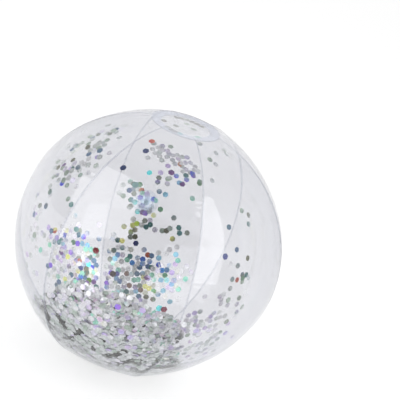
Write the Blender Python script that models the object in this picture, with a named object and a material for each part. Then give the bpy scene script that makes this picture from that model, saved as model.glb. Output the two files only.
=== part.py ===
"""Clear inflatable beach ball with loose foil sequins inside. Metres, +Z along the pole axis.

The ball stands on its lower pole disc, with the origin at the middle of that disc's flat face. Six gores
of clear film meet at welded seams whose fins turn inwards, and a flat disc laps their tips at each pole.
The front gore, towards -Y, carries a push-in valve: a welded flange, a sliding stem, a plug on a strap
and a non-return flap. Inside, a heap of sequins lies at the bottom, a little towards the front. As the
ball rolls it turns about the line from the ball's centre through the valve, so it never meets the stem.
Single sequins cling to the film.
"""

import math

import bmesh
import bpy
from mathutils import Matrix, Vector

# Film and clearances
FILM = 0.0003  # film thickness
GAP = 0.0003  # between pieces that touch on the real ball

# The ball
BALL_RADIUS = 0.140  # mean inflated radius
GORE_COUNT = 6
SEAM_RISE = 0.0017  # the seams stand out from the mean sphere by this much at the equator
GORE_DIP = 0.0014  # the middle of each gore lies this far inside it
RIDGE_POWER = 6  # how slowly the seam ridges fade towards the poles
GORE_ROWS = 20
GORE_COLUMNS = 8
FIN_DEPTH = 0.002  # how far a seam's fin stands in from the film at the equator
FIN_LEAST = 0.0002  # what is left of the fin under the pole discs
FIN_THICKNESS = 0.0006

# Pole discs
DISC_RADIUS = 0.036
DISC_THICKNESS = 0.0005
DISC_LAP = 0.010  # width of the weld band where a disc covers the gore tips
JOGGLE_CLEARANCE = 0.0005  # between the disc's edge and the step down in the gore
JOGGLE_WIDTH = 0.0007
DISC_SEGMENTS = 60

# Valve, as heights over the film's outer face and radii about the valve's own axis
VALVE_COLATITUDE = math.radians(52)
FILM_HOLE_RADIUS = 0.0064
FLANGE_RADIUS = 0.0125
FLANGE_BORE_RADIUS = 0.0057
FLANGE_THICKNESS = 0.0008
FLANGE_SET = 0.0009  # how far the flange lies under the film
STEM_RADIUS = 0.0052
STEM_BORE_RADIUS = 0.0032
STEM_DEPTH = 0.015
RIM_RADIUS = 0.0076
RIM_THICKNESS = 0.0016
RIM_LIFT = 0.0004
STOP_RADIUS = 0.0082  # the collar that keeps the stem from being pulled right out
STOP_THICKNESS = 0.0012
VALVE_SEGMENTS = 32

# Plug and strap, about the strap's living hinge beside the rim
HINGE_REACH = 0.0084  # from the bore's axis to the living hinge
HINGE_RADIUS = 0.0005
STRAP_THICKNESS = 0.0008
STRAP_WIDTH = 0.003
PLUG_HEAD_RADIUS = 0.005
PLUG_HEAD_THICKNESS = 0.0012
PLUG_TOP_RADIUS = 0.0029
PLUG_TIP_RADIUS = 0.0022
PLUG_DEPTH = 0.0035

# Non-return flap, about its own hinge at the stem's inner end
FLAP_RADIUS = 0.0042
FLAP_THICKNESS = 0.0004
FLAP_REACH = 0.0049  # from the bore's axis to the flap's hinge
FLAP_TAB_WIDTH = 0.0028

# Sequins
SEQUIN_WIDTH = 0.006  # across the flats
SEQUIN_THICKNESS = 0.0002
SEQUIN_SET = 0.0009  # how far a clinging sequin lies under the film
CLING_GROUPS = (  # longitude and colatitude of each group's middle in degrees, and its number of sequins
    (104, 95, 6),
    (90, 75, 6),
    (91, 124, 6),
    (130, 133, 6),
    (147, 118, 5),
    (150, 85, 4),
    (43, 108, 3),
)
CLING_SPACING = 0.009  # a group's second sequin lies this far from its middle
CLING_SHARE = 0.88  # they keep within this share of a gore's half width
CLING_FROM_VALVE = math.radians(9)
GOLDEN_ANGLE = math.pi * (3 - math.sqrt(5))
HEAP_SPREAD = math.radians(52)  # from the heap's middle to its edge, seen from the ball's centre
HEAP_TILT = math.radians(14)  # from the ball's lowest point to the heap's middle, towards the front
HEAP_DEPTH = 0.0018
HEAP_EDGE_DEPTH = 0.0005
HEAP_CLEARANCE = 0.0005
HEAP_ROWS = 7
HEAP_SEGMENTS = 36

# Worked out from the above
HALF_GORE = math.pi / GORE_COUNT
FRONT = -math.pi / 2  # the longitude of the middle of the gore with the valve
DISC_HEIGHT = math.sqrt(BALL_RADIUS**2 - DISC_RADIUS**2)  # a disc's outer face over the ball's centre
LAP_HEIGHT = DISC_HEIGHT - DISC_THICKNESS - GAP  # the gore tips' outer face under the disc
LAP_START = DISC_RADIUS + JOGGLE_CLEARANCE
LAP_END = DISC_RADIUS - DISC_LAP
RIM_COLATITUDE = math.asin((LAP_START + JOGGLE_WIDTH) / BALL_RADIUS)
HEAP_RADIUS = LAP_HEIGHT - FILM - FIN_LEAST - HEAP_CLEARANCE
RIM_TOP = RIM_LIFT + RIM_THICKNESS
HINGE_HEIGHT = RIM_TOP + HINGE_RADIUS

CLEAR_FILM = (0.86, 0.88, 0.93, 1.0)
CLEAR_MOULDING = (0.80, 0.86, 0.92, 1.0)
PALE_BLUE = (0.62, 0.76, 0.88, 1.0)
FOIL_COLOURS = {
    "teal": (0.05, 0.28, 0.27, 1.0),
    "indigo": (0.10, 0.12, 0.42, 1.0),
    "purple": (0.28, 0.12, 0.34, 1.0),
    "rust": (0.42, 0.14, 0.08, 1.0),
    "green": (0.10, 0.32, 0.14, 1.0),
    "silver": (0.62, 0.66, 0.62, 1.0),
}


def clear_scene():
    """Removes every object, so that only the ball is left."""
    for obj in list(bpy.data.objects):
        bpy.data.objects.remove(obj, do_unlink=True)


def plastic(name, colour, roughness, metallic=0.0, transmission=0.0):
    """A Principled material."""
    material = bpy.data.materials.new(name)
    material.use_nodes = True
    shader = material.node_tree.nodes["Principled BSDF"]
    shader.inputs["Base Color"].default_value = colour
    shader.inputs["Roughness"].default_value = roughness
    shader.inputs["Metallic"].default_value = metallic
    shader.inputs["Transmission Weight"].default_value = transmission
    material.diffuse_color = colour
    return material


def finished_mesh(name, shape, material):
    """Turns a bmesh into a mesh with outward faces, smooth round its curves and sharp at its corners."""
    bmesh.ops.recalc_face_normals(shape, faces=shape.faces)
    mesh = bpy.data.meshes.new(name)
    shape.to_mesh(mesh)
    shape.free()
    mesh.materials.append(material)
    mesh.shade_smooth()
    mesh.set_sharp_from_angle(angle=math.radians(35))
    return mesh


def place(name, mesh, parent, location=(0, 0, 0), rotation=(0, 0, 0)):
    """Adds an object, or an empty where mesh is None, under its parent."""
    obj = bpy.data.objects.new(name, mesh)
    obj.location = location
    obj.rotation_euler = rotation
    obj.parent = parent
    bpy.context.scene.collection.objects.link(obj)
    return obj


def turned(name, profile, segments, material):
    """A solid of revolution about Z. The (radius, height) points of its profile close or meet the axis."""
    shape = bmesh.new()
    rings = []
    for radius, height in profile:
        steps = segments if radius > 0 else 1
        angles = [2 * math.pi * step / segments for step in range(steps)]
        rings.append([shape.verts.new((radius * math.cos(a), radius * math.sin(a), height)) for a in angles])
    for ring, following in zip(rings, rings[1:] + rings[:1]):
        for step in range(segments):
            ahead = step + 1
            corners = [
                ring[step % len(ring)],
                ring[ahead % len(ring)],
                following[ahead % len(following)],
                following[step % len(following)],
            ]
            corners = list(dict.fromkeys(corners))
            if len(corners) > 2:
                shape.faces.new(corners)
    return finished_mesh(name, shape, material)


def extruded(name, outline, along, material):
    """A prism: the outline's points at one end, and the same points moved along the vector at the other."""
    shape = bmesh.new()
    near = [shape.verts.new(point) for point in outline]
    far = [shape.verts.new(Vector(point) + Vector(along)) for point in outline]
    shape.faces.new(near)
    shape.faces.new(far)
    for index, corner in enumerate(near):
        following = (index + 1) % len(near)
        shape.faces.new([corner, near[following], far[following], far[index]])
    return finished_mesh(name, shape, material)


def outwards(colatitude, longitude):
    """The unit vector from the ball's centre. Longitude runs anticlockwise from +X."""
    level = math.sin(colatitude)
    return Vector((level * math.cos(longitude), level * math.sin(longitude), math.cos(colatitude)))


def fullness(colatitude):
    """1 at the equator, fading to 0 where the film meets a disc."""
    return 1 - abs(math.cos(colatitude) / math.cos(RIM_COLATITUDE)) ** RIDGE_POWER


def wall_radius(colatitude, share):
    """The film's outer radius. share runs from 0 at a gore's middle to -1 and 1 at its seams."""
    return BALL_RADIUS + fullness(colatitude) * ((SEAM_RISE + GORE_DIP) * share**2 - GORE_DIP)


def fin_depth(colatitude):
    """How far the fin stands in from the film."""
    return FIN_LEAST + (FIN_DEPTH - FIN_LEAST) * fullness(colatitude)


def ball_row(colatitude):
    """A row of the gore on the round wall, as a function.

    It takes the share across the gore and the depth under the film's outer face, and gives the distance
    from the pole axis and the height over the ball's centre.
    """

    def at(share, depth):
        radius = wall_radius(colatitude, share) - depth
        return radius * math.sin(colatitude), radius * math.cos(colatitude)

    return at


def lap_row(axis_distance, side):
    """A row of the gore's flat tip, which lies under a disc. side is 1 at the top and -1 at the bottom."""

    def at(_, depth):
        return axis_distance, side * (LAP_HEIGHT - depth)

    return at


def gore_rows():
    """(row, fin depth) pairs from the top tip to the bottom tip."""
    step = (math.pi - 2 * RIM_COLATITUDE) / GORE_ROWS
    colatitudes = [RIM_COLATITUDE + step * index for index in range(GORE_ROWS + 1)]
    top = [(lap_row(distance, 1), FIN_LEAST) for distance in (LAP_END, LAP_START)]
    bottom = [(lap_row(distance, -1), FIN_LEAST) for distance in (LAP_START, LAP_END)]
    return top + [(ball_row(angle), fin_depth(angle)) for angle in colatitudes] + bottom


def gore_section():
    """The loop round the gore's thin section, as (share, distance from the seam plane, layer)."""
    inner_shares = [2 * index / GORE_COLUMNS - 1 for index in range(1, GORE_COLUMNS)]
    edge = GAP / 2
    root = GAP / 2 + FIN_THICKNESS
    outer = [(-1, edge), (-1, root)] + [(share, 0) for share in inner_shares] + [(1, root), (1, edge)]
    inner = outer[1:-1]
    tips = [(1, edge), (1, root), (-1, root), (-1, edge)]
    loop = [(*column, "outer") for column in outer]
    loop += [(*column, "tip") for column in tips[:2]]
    loop += [(*column, "inner") for column in reversed(inner)]
    loop += [(*column, "tip") for column in tips[2:]]
    return loop


def gore_mesh(material):
    """One gore of film with a fin along each seam, its middle towards -Y and its centre at the origin."""
    shape = bmesh.new()
    section = gore_section()
    rows = []
    for row, fin in gore_rows():
        depths = {"outer": 0, "inner": FILM, "tip": FILM + fin}
        corners = []
        for share, from_seam, layer in section:
            distance, height = row(share, depths[layer])
            turn = share * HALF_GORE - math.copysign(math.asin(from_seam / distance), share)
            corners.append(shape.verts.new((distance * math.sin(turn), -distance * math.cos(turn), height)))
        rows.append(corners)
    count = len(section)
    for row, following in zip(rows, rows[1:]):
        for index in range(count):
            ahead = (index + 1) % count
            shape.faces.new([row[index], row[ahead], following[ahead], following[index]])
    for row in (rows[0], rows[-1]):
        close_gore_end(shape, row)
    return finished_mesh("gore", shape, material)


def close_gore_end(shape, row):
    """Closes a tip of the gore: a strip between the film's faces, and three triangles at each fin."""
    outer_count = GORE_COLUMNS + 3
    outer = row[:outer_count]
    right_edge_tip, right_root_tip = row[outer_count : outer_count + 2]
    left_root_tip, left_edge_tip = row[-2:]
    inner = list(reversed(row[outer_count + 2 : -2]))
    for index in range(len(inner) - 1):
        shape.faces.new([outer[index + 1], outer[index + 2], inner[index + 1], inner[index]])
    for edge, root, film, root_tip, edge_tip in (
        (outer[0], outer[1], inner[0], left_root_tip, left_edge_tip),
        (outer[-1], outer[-2], inner[-1], right_root_tip, right_edge_tip),
    ):
        shape.faces.new([edge, root, film])
        shape.faces.new([edge, film, edge_tip])
        shape.faces.new([film, root_tip, edge_tip])


def add_gores(centre, film):
    """The gores, which share one mesh. gore_1 faces -Y, and the rest follow anticlockwise from above."""
    mesh = gore_mesh(film)
    gores = []
    for index in range(GORE_COUNT):
        turn = 2 * HALF_GORE * index
        gores.append(place(f"gore_{index + 1}", mesh, centre, rotation=(0, 0, turn)))
    return gores


def add_discs(centre, film):
    """The two pole discs. Their outer faces are flat."""
    profile = [(0, 0), (DISC_RADIUS, 0), (DISC_RADIUS, -DISC_THICKNESS), (0, -DISC_THICKNESS)]
    mesh = turned("pole_disc", profile, DISC_SEGMENTS, film)
    place("top_disc", mesh, centre, location=(0, 0, DISC_HEIGHT))
    place("bottom_disc", mesh, centre, location=(0, 0, -DISC_HEIGHT), rotation=(math.pi, 0, 0))


def add_valve_seat(centre):
    """An empty on the front gore's outer face, with its Z along the valve's axis, pointing outwards."""
    location = outwards(VALVE_COLATITUDE, FRONT) * wall_radius(VALVE_COLATITUDE, 0)
    return place("valve_seat", None, centre, location=location, rotation=(VALVE_COLATITUDE, 0, 0))


def cut_film_hole(gore, seat, material):
    """Cuts the valve's hole through the front gore."""
    reach = FILM_HOLE_RADIUS / 2
    profile = [(0, reach), (FILM_HOLE_RADIUS, reach), (FILM_HOLE_RADIUS, -reach), (0, -reach)]
    cutter = place("valve_hole_cutter", turned("valve_hole_cutter", profile, VALVE_SEGMENTS, material), seat)
    cutter.hide_render = True
    cutter.display_type = "WIRE"
    hole = gore.modifiers.new("valve_hole", "BOOLEAN")
    hole.operation = "DIFFERENCE"
    hole.solver = "EXACT"
    hole.object = cutter


def add_flange(seat, material):
    """The ring that is welded under the film. It follows the ball's curve."""
    seat_radius = wall_radius(VALVE_COLATITUDE, 0)
    outer_sphere = seat_radius - FILM - FLANGE_SET
    inner_sphere = outer_sphere - FLANGE_THICKNESS
    middle = (FLANGE_BORE_RADIUS + FLANGE_RADIUS) / 2
    radii = (FLANGE_BORE_RADIUS, middle, FLANGE_RADIUS)
    profile = [(radius, math.sqrt(outer_sphere**2 - radius**2) - seat_radius) for radius in radii]
    profile += [(radius, math.sqrt(inner_sphere**2 - radius**2) - seat_radius) for radius in reversed(radii)]
    place("valve_flange", turned("valve_flange", profile, VALVE_SEGMENTS, material), seat)


def add_stem(seat, material):
    """The tube that slides through the flange, with a rim outside and a stop collar inside."""
    profile = [
        (STEM_BORE_RADIUS, RIM_TOP),
        (RIM_RADIUS, RIM_TOP),
        (RIM_RADIUS, RIM_LIFT),
        (STEM_RADIUS, RIM_LIFT),
        (STEM_RADIUS, STOP_THICKNESS - STEM_DEPTH),
        (STOP_RADIUS, STOP_THICKNESS - STEM_DEPTH),
        (STOP_RADIUS, -STEM_DEPTH),
        (STEM_BORE_RADIUS, -STEM_DEPTH),
    ]
    place("valve_stem", turned("valve_stem", profile, VALVE_SEGMENTS, material), seat)


def add_plug(seat, material):
    """The plug and its strap. Both turn about the living hinge beside the stem's rim."""
    hinge = place("plug_hinge", None, seat, location=(-HINGE_REACH, 0, HINGE_HEIGHT))
    underside = RIM_TOP + GAP - HINGE_HEIGHT
    head_top = underside + PLUG_HEAD_THICKNESS
    profile = [
        (0, head_top),
        (PLUG_HEAD_RADIUS, head_top),
        (PLUG_HEAD_RADIUS, underside),
        (PLUG_TOP_RADIUS, underside),
        (PLUG_TIP_RADIUS, underside - PLUG_DEPTH),
        (0, underside - PLUG_DEPTH),
    ]
    plug = turned("valve_plug", profile, VALVE_SEGMENTS, material)
    plug.transform(Matrix.Translation((HINGE_REACH, 0, 0)))
    place("valve_plug", plug, hinge)

    strap_end = HINGE_REACH - PLUG_HEAD_RADIUS - GAP
    half_width = STRAP_WIDTH / 2
    knuckle = [math.radians(angle) for angle in range(90, 331, 30)]
    outline = [(HINGE_RADIUS * math.cos(a), -half_width, HINGE_RADIUS * math.sin(a)) for a in knuckle]
    outline += [
        (HINGE_RADIUS, -half_width, underside),
        (strap_end, -half_width, underside),
        (strap_end, -half_width, underside + STRAP_THICKNESS),
        (HINGE_RADIUS, -half_width, underside + STRAP_THICKNESS),
    ]
    place("plug_strap", extruded("plug_strap", outline, (0, STRAP_WIDTH, 0), material), hinge)


def add_flap(seat, material):
    """The non-return flap, which covers the bore's inner end and turns inwards about its tab."""
    middle = GAP + FLAP_THICKNESS / 2
    hinge = place("flap_hinge", None, seat, location=(-FLAP_REACH, 0, -STEM_DEPTH - middle))
    base = -FLAP_THICKNESS / 2
    half_tab = FLAP_TAB_WIDTH / 2
    start = math.pi - math.asin(half_tab / FLAP_RADIUS)
    steps = 24
    outline = []
    for step in range(steps + 1):
        angle = start - 2 * start * step / steps
        outline.append((FLAP_REACH + FLAP_RADIUS * math.cos(angle), FLAP_RADIUS * math.sin(angle), base))
    outline += [(0, -half_tab, base), (0, half_tab, base)]
    place("valve_flap", extruded("valve_flap", outline, (0, 0, FLAP_THICKNESS), material), hinge)


def add_heap(centre, material):
    """The heap of sequins: a thin bowl about the ball's centre, which its joint's axis runs through."""
    angles = [HEAP_SPREAD * row / HEAP_ROWS for row in range(HEAP_ROWS + 1)]
    profile = [(HEAP_RADIUS * math.sin(angle), -HEAP_RADIUS * math.cos(angle)) for angle in angles]
    for angle in reversed(angles):
        crown = 1 - (angle / HEAP_SPREAD) ** 2
        radius = HEAP_RADIUS - HEAP_EDGE_DEPTH - (HEAP_DEPTH - HEAP_EDGE_DEPTH) * crown
        profile.append((radius * math.sin(angle), -radius * math.cos(angle)))
    bowl = turned("sequin_heap", profile, HEAP_SEGMENTS, material)
    place("sequin_heap", bowl, centre, rotation=(-HEAP_TILT, 0, 0))


def cling_places():
    """(direction from the ball's centre, share across the gore) of the clinging sequins.

    Each group spirals out from its middle by the golden angle. It skips what is too near a seam or the valve.
    """
    valve = outwards(VALVE_COLATITUDE, FRONT)
    places = []
    for longitude, colatitude, count in CLING_GROUPS:
        middle = outwards(math.radians(colatitude), math.radians(longitude)).to_track_quat("Z", "Y")
        wanted = len(places) + count
        step = 0
        while len(places) < wanted:
            direction = middle @ outwards(CLING_SPACING * math.sqrt(step) / BALL_RADIUS, step * GOLDEN_ANGLE)
            turn = math.atan2(direction.y, direction.x)
            share = ((turn - FRONT + HALF_GORE) % (2 * HALF_GORE)) / HALF_GORE - 1
            if abs(share) < CLING_SHARE and direction.angle(valve) > CLING_FROM_VALVE:
                places.append((direction, share))
            step += 1
    return places


def add_clinging_sequins(centre, foils):
    """Single hexagonal sequins that lie flat under the film."""
    corner = SEQUIN_WIDTH / (2 * math.cos(math.pi / 6))
    turns = [side * math.pi / 3 for side in range(6)]
    outline = [(corner * math.cos(turn), corner * math.sin(turn), 0) for turn in turns]
    thickness = (0, 0, SEQUIN_THICKNESS)
    meshes = [extruded(f"sequin_{name}", outline, thickness, foil) for name, foil in foils.items()]
    for index, (direction, share) in enumerate(cling_places()):
        radius = wall_radius(math.acos(direction.z), share) - FILM - SEQUIN_SET - SEQUIN_THICKNESS
        facing = direction.to_track_quat("Z", "Y").to_euler()
        mesh = meshes[index % len(meshes)]
        place(f"sequin_{index + 1:02d}", mesh, centre, location=direction * radius, rotation=facing)


def main():
    clear_scene()
    film = plastic("clear_film", CLEAR_FILM, 0.06, transmission=0.9)
    disc_film = plastic("disc_film", CLEAR_FILM, 0.10, transmission=0.8)
    moulding = plastic("clear_moulding", CLEAR_MOULDING, 0.25, transmission=0.6)
    plug_plastic = plastic("plug_plastic", PALE_BLUE, 0.35, transmission=0.3)
    flap_film = plastic("flap_film", CLEAR_FILM, 0.20, transmission=0.8)
    heap_foil = plastic("heap_foil", FOIL_COLOURS["silver"], 0.25, metallic=0.9)
    foils = {
        name: plastic(f"foil_{name}", colour, 0.2, metallic=0.9)
        for name, colour in FOIL_COLOURS.items()
    }

    centre = place("ball_centre", None, None, location=(0, 0, DISC_HEIGHT))
    gores = add_gores(centre, film)
    add_discs(centre, disc_film)
    seat = add_valve_seat(centre)
    cut_film_hole(gores[0], seat, film)
    add_flange(seat, moulding)
    add_stem(seat, moulding)
    add_plug(seat, plug_plastic)
    add_flap(seat, flap_film)
    add_heap(centre, heap_foil)
    add_clinging_sequins(centre, foils)
    bpy.context.view_layer.update()


main()
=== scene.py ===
"""Looks for the clear inflatable beach ball with loose foil sequins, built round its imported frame.

Metres, +Z up, in the part's own frame: the ball stands on its lower pole disc at the origin. Film, discs
and valve are closed thin shells that stand for the CAD pieces, and every sequin is a thin hexagon.
"""

import math
from functools import partial

import bmesh
import bpy
import numpy as np
from mathutils import Euler, Matrix, Vector


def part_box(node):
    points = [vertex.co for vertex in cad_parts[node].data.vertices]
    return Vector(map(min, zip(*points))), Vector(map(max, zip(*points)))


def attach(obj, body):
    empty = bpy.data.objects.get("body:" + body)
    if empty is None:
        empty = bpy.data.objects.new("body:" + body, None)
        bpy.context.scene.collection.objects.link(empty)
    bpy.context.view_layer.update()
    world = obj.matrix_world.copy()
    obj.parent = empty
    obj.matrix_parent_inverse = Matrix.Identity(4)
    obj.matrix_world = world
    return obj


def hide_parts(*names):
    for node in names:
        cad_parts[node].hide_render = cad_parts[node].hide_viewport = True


# The ball, as in the part
FILM = 0.0003
GAP = 0.0003
BALL_RADIUS = 0.140
GORE_COUNT = 6
SEAM_RISE = 0.0017
GORE_DIP = 0.0014
RIDGE_POWER = 6
FIN_DEPTH = 0.0013  # trimmed closer than the part's 2 mm, so that the seams look thin
FIN_LEAST = 0.0002
FIN_THICKNESS = 0.0006
DISC_RADIUS = 0.036
DISC_THICKNESS = 0.0005
DISC_LAP = 0.010
JOGGLE_CLEARANCE = 0.0005
JOGGLE_WIDTH = 0.0007
HEAP_SPREAD = math.radians(52)
HEAP_TILT = math.radians(14)
HEAP_CLEARANCE = 0.0005
HEAP_DRAWN_RIGHT = math.radians(16)  # how far the heap's edge draws in at its sides
HEAP_DRAWN_LEFT = math.radians(8)
HEAP_WAVES = 0.035  # how uneven the heap's edge is, as a share of its spread

# The valve, as in the part: heights over the film's outer face, radii about its own axis
VALVE_COLATITUDE = math.radians(52)
FILM_HOLE_RADIUS = 0.0064
FLANGE_RADIUS = 0.0125
FLANGE_BORE_RADIUS = 0.0057
FLANGE_THICKNESS = 0.0008
FLANGE_SET = 0.0009
STEM_RADIUS = 0.0052
STEM_BORE_RADIUS = 0.0032
STEM_DEPTH = 0.015
RIM_RADIUS = 0.0076
RIM_THICKNESS = 0.0016
RIM_LIFT = 0.0004
STOP_RADIUS = 0.0082
STOP_THICKNESS = 0.0012
HINGE_REACH = 0.0084
HINGE_RADIUS = 0.0005
STRAP_THICKNESS = 0.0008
STRAP_WIDTH = 0.003
STRAP_LAP = 0.0006  # how far the strap runs into the plug's head, as one moulding
PLUG_HEAD_RADIUS = 0.005
PLUG_HEAD_THICKNESS = 0.0012
PLUG_TOP_RADIUS = 0.0029
PLUG_TIP_RADIUS = 0.0022
PLUG_DEPTH = 0.0035
FLAP_RADIUS = 0.0042
FLAP_THICKNESS = 0.0004
FLAP_REACH = 0.0049
FLAP_TAB_WIDTH = 0.0028

# The valve's finer shape, which the part leaves out
FLANGE_GROOVE_DEPTH = 0.00018
FLANGE_GROOVE_PITCH = 0.0017
FLANGE_RINGS = 25
WAIST_START = -0.003
WAIST_DEPTH = 0.00025
WAIST_RINGS = 9
PLUG_CROWN = 0.0003
STEM_ROUNDING = 0.00045
PLUG_ROUNDING = 0.00025
STRAP_BEVEL = 0.00015
FLAP_BEVEL = 0.0001

# Worked out from the above
HALF_GORE = math.pi / GORE_COUNT
FRONT = -math.pi / 2
DISC_HEIGHT = math.sqrt(BALL_RADIUS**2 - DISC_RADIUS**2)
CENTRE = Vector((0, 0, DISC_HEIGHT))
LAP_HEIGHT = DISC_HEIGHT - DISC_THICKNESS - GAP
LAP_START = DISC_RADIUS + JOGGLE_CLEARANCE
LAP_END = DISC_RADIUS - DISC_LAP
RIM_COLATITUDE = math.asin((LAP_START + JOGGLE_WIDTH) / BALL_RADIUS)
HEAP_RADIUS = LAP_HEIGHT - FILM - FIN_LEAST - HEAP_CLEARANCE
RIM_TOP = RIM_LIFT + RIM_THICKNESS
HINGE_HEIGHT = RIM_TOP + HINGE_RADIUS

# Fineness of the film's mesh
GORE_ROWS = 150
GORE_COLUMNS = 36
LAP_ROWS = 5
DISC_RINGS = 36
DISC_SEGMENTS = 180
VALVE_SEGMENTS = 64
SHARP_ANGLE = math.radians(35)

# Creases and swells of the film
PUCKER_HEIGHT = 0.00032  # at the seams
PUCKER_LENGTH = 0.0105  # from one pucker to the next
PUCKER_REACH = 0.0045  # how far from the seam they are highest
DISC_PUCKER_HEIGHT = 0.00028
DISC_PUCKER_REACH = 0.007
DISC_PUCKERS = 34
SWELL_HEIGHT = 0.00045
DISC_DOME = 0.0008
DISC_GROOVE_DEPTH = 0.00012  # of the two rings pressed into the weld band
DISC_GROOVE_WIDTH = 0.0004
DISC_CREASE_DEPTH = 0.00022
DISC_CREASE_WIDTH = 0.0035
DISC_CREASES = 26

# Sequins
SEQUIN_CORNER = 0.006 / math.sqrt(3)  # from its middle to a corner
SEQUIN_THICKNESS = 0.00008
SEQUIN_SET = 0.0007  # the clinging sequins' middles lie this far under the film
SEQUIN_SPACING = 0.0047
TRAPPED_DEPTH = 0.0018  # of the sequins caught under the upper disc, below its outer face
TRAPPED_REACH = 0.0245  # how far they lie from the disc's middle, beside the gore tips
FIN_MARGIN = 0.0046  # a sequin's middle stays this far from a seam
SEAM_REACH = 0.005  # the heap's sequins nearer than this to a seam show beside the fins
DISC_MARGIN = 0.001
VALVE_MARGIN = math.radians(7.5)
HEAP_NUDGE = 0.0018
HEAP_SAG = 0.0004
HEAP_PAINTED_SHADE_DRAWN = math.radians(2)  # how far the edge of the dark sequins painted as shade lies inside the heap's
GOLDEN_ANGLE = math.pi * (3 - math.sqrt(5))
TWO_TONED = 0.4  # share of the sequins that show a second tone
FOIL_LIGHT = (1.1, 1.45)  # how far a sequin is brighter than its foil
SEED = 11

# The camera and the lights
CAMERA_AZIMUTH = math.radians(7.5)
CAMERA_ELEVATION = math.radians(23)
CAMERA_ROLL = math.radians(18)
CAMERA_DISTANCE = 11.12 * BALL_RADIUS
SENSOR = 36.0
LENS = 133.4
BALL_LEFT = 0.13  # how far left of the frame's middle the ball's centre lies, as a share of the frame
BALL_LOW = 0.105
WORLD_SEEN = 1.05
WORLD_LIGHT = 1.05
WORLD_DARK = 0.15  # the studio is darker on the camera's side
WORLD_FADE = (-0.4, 0.6)  # where it darkens, by the cosine of the angle from the dark side
DARK_SIDE = (-0.60, -0.15, 0.78)  # right, up and back as the camera sees it
SOFTBOX_DISTANCE = 1.6
FLOOR_GLOW = 0.66  # the light that the floor gives by itself
FLOOR_TONES = ((0.44, 0.44, 0.44, 1), (0.46, 0.46, 0.46, 1))
FLOOR_RADIUS = 9.0
FLOOR_SEGMENTS = 96
FLOOR_DEPTH = 0.02
FLOOR_DROP = 0.0001  # just under the ball's foot

# Softboxes: name, direction from the ball (right, up and back as the camera sees it), width, height, radiance
SOFTBOXES = (
    ("softbox_left", (-0.62, 0.46, 0.62), 2.0, 1.6, 1.60),
    ("softbox_right", (0.78, -0.06, 0.62), 1.1, 2.2, 1.50),
)

# What every clear plastic shares
HAZE_COLOUR = (0.86, 0.88, 0.94, 1)
TINT_POWER = 4.0  # how late the tint deepens as the sheet turns edge on
GLOSS_POWER = 5.0
GLOSS_FACE_ON = 0.045

# Foil colours as a screen shows them
FOILS = {
    "silver": (205, 209, 206),
    "sage": (172, 186, 172),
    "smoke": (150, 156, 146),
    "olive": (112, 113, 94),
    "night": (46, 48, 40),
    "teal": (84, 126, 124),
    "slate": (100, 126, 154),
    "navy": (62, 72, 120),
    "indigo": (84, 98, 200),
    "blue": (100, 152, 218),
    "sky": (156, 200, 234),
    "aqua": (110, 214, 214),
    "mint": (156, 214, 192),
    "green": (114, 152, 122),
    "leaf": (112, 160, 62),
    "lime": (186, 208, 92),
    "yellow": (240, 234, 146),
    "cream": (252, 246, 222),
    "white": (250, 250, 252),
    "pearl": (228, 224, 238),
    "lavender": (206, 192, 236),
    "violet": (150, 116, 222),
    "purple": (120, 82, 138),
    "pink": (234, 204, 228),
    "rust": (190, 102, 82),
    "wine": (126, 50, 66),
    "brown": (146, 118, 104),
    "ink": (48, 30, 36),
}
# The foils of each palette. One that comes more than once is drawn more often
PALETTES = {
    # Dark foils, mostly night and olive, that paint the shade inside the heap where the bank's gaps show it;
    # the sequins caught under the upper disc take them too
    "shade": "olive night night olive night smoke",
    "sparkle": "silver white white pearl pearl white silver white sage pearl mint pink lavender white cream "
    "white pearl silver white sage",
    "jewels": "teal teal slate slate navy cream cream cream white white white white green aqua purple violet "
    "leaf yellow brown blue mint lavender olive smoke pearl pearl cream white sky mint silver",
    "soft": "slate slate teal white white cream cream cream pearl lavender silver pearl mint sky white smoke "
    "violet silver pearl yellow",
    "slates": "slate slate teal navy cream white cream white smoke teal pearl",
    "blues": "blue indigo slate sky blue slate white white cream cream sky pearl",
    "olives": "olive yellow brown cream smoke lime teal sage yellow cream smoke silver",
    "pale": "cream white lavender sky pearl white mint",
    "greys": "smoke sage olive slate teal smoke sage silver silver pearl silver",
    "bank": "silver silver silver sage silver sage silver pearl silver white silver lavender",
    "ghosts": "pearl silver pearl white lavender sage silver pearl",
    "mixed": "teal slate green smoke smoke violet mint lavender pearl aqua sage silver silver sky",
}


def linear(shown):
    """A colour as a screen shows it, 0 to 255, as linear light."""
    share = np.array(shown) / 255
    return np.where(share < 0.04045, share / 12.92, ((share + 0.055) / 1.055) ** 2.4)


def outwards(colatitude, longitude):
    """The unit vector from the ball's centre. Longitude runs anticlockwise from +X."""
    level = math.sin(colatitude)
    return Vector((level * math.cos(longitude), level * math.sin(longitude), math.cos(colatitude)))


def fullness(colatitude):
    """1 at the equator, fading to 0 where the film meets a disc."""
    return 1 - abs(math.cos(colatitude) / math.cos(RIM_COLATITUDE)) ** RIDGE_POWER


def wall_radius(colatitude, share):
    """The film's outer radius. share runs from 0 at a gore's middle to -1 and 1 at its seams."""
    return BALL_RADIUS + fullness(colatitude) * ((SEAM_RISE + GORE_DIP) * share**2 - GORE_DIP)


def fin_depth(colatitude):
    """How far the fin stands in from the film."""
    return FIN_LEAST + (FIN_DEPTH - FIN_LEAST) * fullness(colatitude)


def film_place(direction):
    """Where a direction from the ball's centre meets the film, as (colatitude, share)."""
    longitude = math.atan2(direction.y, direction.x)
    share = ((longitude - FRONT + HALF_GORE) % (2 * HALF_GORE)) / HALF_GORE - 1
    return direction.angle(Vector((0, 0, 1))), share


def seam_distance(colatitude, share):
    """How far along the film the nearest seam is."""
    return (1 - abs(share)) * HALF_GORE * BALL_RADIUS * math.sin(colatitude)


# Materials


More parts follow.
